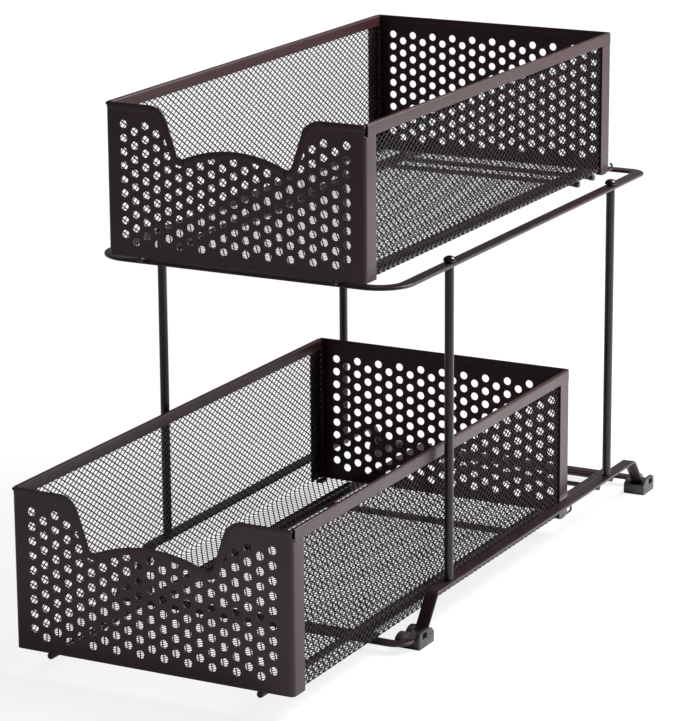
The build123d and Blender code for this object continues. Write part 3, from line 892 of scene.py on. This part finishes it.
footLook = {
    "height": 0.0118, "groove": 0.0077, "outer": 0.00735, "inner": 0.00935, "nearTurn": 0.0025, "farTurn": 0.007,
    "humpRadius": 0.0076, "humpHeight": 0.005, "humpBase": 0.0055, "humpSteps": 16,
    "soft": 0.0007, "softSteps": 3, "softFrom": radians(50),
    "slotWide": 0.007, "slotTall": 0.0044, "slotDeep": 0.0018, "slotShare": 0.34, "slotTop": 0.0012,
    "front": {"setback": 0.0115, "length": 0.022, "turn": 1, "humps": (0.12, 0.86)},
    "rear": {"setback": 0.0, "length": 0.020, "turn": -1, "humps": (0.0, 0.63)},
}


def prism(outline, x0, x1):
    # a shape drawn in (y, z), made solid from x0 to x1
    return skin([[Vector((x, y, z)) for y, z in outline] for x in (x0, x1)])


def flatPath(corners):
    return [(point.x, point.y) for point in roundedPath(corners, closed=True)]


def footParts(length, humps):
    look = footLook
    edge = frameLook["stripWide"] / 2
    high = look["height"]
    sole = [(0.0, 0.0), (length, 0.0), (length, look["groove"]), (0.0, look["groove"])]
    plate = flatPath([
        ((0, 0, 0), 0), ((length, 0, 0), 0),
        ((length, high, 0), look["farTurn"]), ((0, high, 0), look["nearTurn"]),
    ])
    slotMiddle = look["slotShare"] * length
    y0, y1 = slotMiddle - look["slotWide"] / 2, slotMiddle + look["slotWide"] / 2
    z1 = high - look["slotTop"]
    z0 = z1 - look["slotTall"]
    slot = [(y0, z0), (y1, z0), (y1, z1), (y0, z1)]
    parts = {
        "sole": prism(sole, -look["inner"], look["outer"]),
        "plate": prism(plate, edge, look["outer"]),
        "slot": prism(slot, look["outer"] - look["slotDeep"], look["outer"] + look["slotDeep"]),
    }
    for i, share in enumerate(humps):
        arch = []
        for k in range(look["humpSteps"] + 1):
            angle = pi * k / look["humpSteps"]
            y = share * length + look["humpRadius"] * cos(angle)
            arch.append((y, look["humpBase"] + look["humpHeight"] * sin(angle)))
        parts["hump" + str(i)] = prism(arch, -look["inner"], -edge)
    return parts


def solidObject(name, part):
    data = bpy.data.meshes.new(name)
    data.from_pydata([tuple(v) for v in part[0]], [], part[1])
    outward(data)
    piece = bpy.data.objects.new(name, data)
    bpy.context.collection.objects.link(piece)
    return piece


def footMesh(name, length, humps):
    # joins the walls to the sole, sinks the slot, and softens the edges
    parts = {key: solidObject(name + key, part) for key, part in footParts(length, humps).items()}
    foot = parts.pop("sole")
    for key, part in parts.items():
        step = foot.modifiers.new(key, "BOOLEAN")
        step.operation = "DIFFERENCE" if key == "slot" else "UNION"
        step.object = part
    bevel = foot.modifiers.new("soft", "BEVEL")
    bevel.width = footLook["soft"]
    bevel.segments = footLook["softSteps"]
    bevel.limit_method = "ANGLE"
    bevel.angle_limit = footLook["softFrom"]
    data = plainCopy(foot)
    for part in parts.values():
        bpy.data.objects.remove(part)
    return data


def buildFeet():
    look = footLook
    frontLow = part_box("lower_front_bar")[0]
    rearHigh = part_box("lower_rear_bar")[1]
    railLow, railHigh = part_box("lower_right_rail")
    x = (railLow.x + railHigh.x) / 2
    inset = frameLook["stripWide"] / 2
    barPlaces = {"front": frontLow.y + inset, "rear": rearHigh.y - inset}
    for end, barY in barPlaces.items():
        foot = look[end]
        for word, side in (("left", -1), ("right", 1)):
            name = end + "_" + word + "_moulded_foot"
            data = footMesh(name, foot["length"], foot["humps"])
            place = Matrix.Translation((side * x, barY + foot["turn"] * foot["setback"], 0))
            data.transform(place @ Matrix.Diagonal((side, foot["turn"], 1, 1)))
            outward(data)
            piece = finishObject(name, data, footPlastic)
            install(piece, "frame", "foot_plastic", end + "_" + word + "_foot")


for tier in ("lower", "upper"):
    buildPanels(tier)
    print(tier, "panels built")
    buildMesh(tier)
    print(tier, "wire mesh built")
    buildRims(tier)
    buildRunners(tier)
buildRing()
buildLowerLoop()
buildStraights()
buildPosts()
buildFeet()
print("frame pieces built")

# Floor, light and camera

stageLook = {
    "floorTone": 0.82, "floorRough": 0.9, "shown": 0.8, "glow": 1.04, "worldLight": 0.22, "size": 12.0,
    "shadowReach": (0.6, 1.5),
}
lampLook = {
    "sheen": {"place": (1.5, 2.3, 0.3), "aim": (0.2, 0.0, 0.05), "size": 1.2, "power": 6.0},
    "top": {"place": (0.85, 0.75, 1.3), "aim": (0.4, 0.35, 0.0), "size": 0.9, "power": 56.0},
}
cameraLook = {
    "place": (1.0627, -2.0366, 0.77735), "azimuth": 0.4847, "elevation": 0.2637, "roll": -0.0066,
    "lens": 166.3, "sensor": 36.0,
}


def buildFloor():
    size = stageLook["size"]
    corners = [(-size, -size, 0), (size, -size, 0), (size, size, 0), (-size, size, 0)]
    data = bpy.data.meshes.new("floor")
    data.from_pydata(corners, [], [(0, 1, 2, 3)])
    floor = bpy.data.objects.new("floor", data)
    bpy.context.collection.objects.link(floor)
    material = bpy.data.materials.new("paleFloor")
    material.use_nodes = True
    tree = material.node_tree
    shader = tree.nodes["Principled BSDF"]
    tone = stageLook["floorTone"]
    shader.inputs["Base Color"].default_value = (tone, tone, tone, 1)
    shader.inputs["Roughness"].default_value = stageLook["floorRough"]
    glow = addNode(tree, "ShaderNodeEmission", {"Color": (1, 1, 1, 1), "Strength": stageLook["glow"]})
    seen = addNode(tree, "ShaderNodeLightPath").outputs["Is Camera Ray"]
    # away from the organizer the floor turns into the plain backdrop
    place = addNode(tree, "ShaderNodeTexCoord").outputs["Object"]
    away = addNode(tree, "ShaderNodeVectorMath", {0: place}, operation="LENGTH").outputs["Value"]
    near, far = stageLook["shadowReach"]
    values = {"Value": away, "From Min": near, "From Max": far, "To Min": stageLook["shown"], "To Max": 1.0}
    faded = addNode(tree, "ShaderNodeMapRange", values).outputs[0]
    share = reckon(tree, "MULTIPLY", seen, faded)
    mixed = addNode(tree, "ShaderNodeMixShader", {0: share, 1: shader.outputs[0], 2: glow.outputs[0]})
    tree.links.new(mixed.outputs[0], tree.nodes["Material Output"].inputs["Surface"])
    data.materials.append(material)


def buildWorld():
    world = bpy.data.worlds.new("studio")
    bpy.context.scene.world = world
    world.use_nodes = True
    tree = world.node_tree
    back = tree.nodes["Background"]
    back.inputs["Color"].default_value = (1, 1, 1, 1)
    seen = addNode(tree, "ShaderNodeLightPath").outputs["Is Camera Ray"]
    spare = reckon(tree, "MULTIPLY", seen, 1 - stageLook["worldLight"])
    tree.links.new(reckon(tree, "ADD", spare, stageLook["worldLight"]), back.inputs["Strength"])


def buildLamps():
    for name, look in lampLook.items():
        data = bpy.data.lights.new(name + "Lamp", "AREA")
        data.size = look["size"]
        data.energy = look["power"]
        lamp = bpy.data.objects.new(name + "Lamp", data)
        lamp.location = look["place"]
        lamp.rotation_euler = (Vector(look["aim"]) - Vector(look["place"])).to_track_quat("-Z", "Y").to_euler()
        lamp.visible_camera = False
        bpy.context.collection.objects.link(lamp)


def buildCamera():
    look = cameraLook
    azimuth, elevation = look["azimuth"], look["elevation"]
    back = Vector((sin(azimuth) * cos(elevation), -cos(azimuth) * cos(elevation), sin(elevation)))
    right = Vector((cos(azimuth), sin(azimuth), 0))
    up = back.cross(right)
    c, s = cos(look["roll"]), sin(look["roll"])
    right, up = right * c + up * s, up * c - right * s
    data = bpy.data.cameras.new("camera")
    data.lens = look["lens"]
    data.sensor_width = look["sensor"]
    camera = bpy.data.objects.new("camera", data)
    camera.matrix_world = Matrix((right, up, back)).transposed().to_4x4()
    camera.location = look["place"]
    bpy.context.collection.objects.link(camera)
    bpy.context.scene.camera = camera


buildFloor()
buildWorld()
buildLamps()
buildCamera()
bpy.context.scene.view_settings.view_transform = "Standard"

print("scene ready")
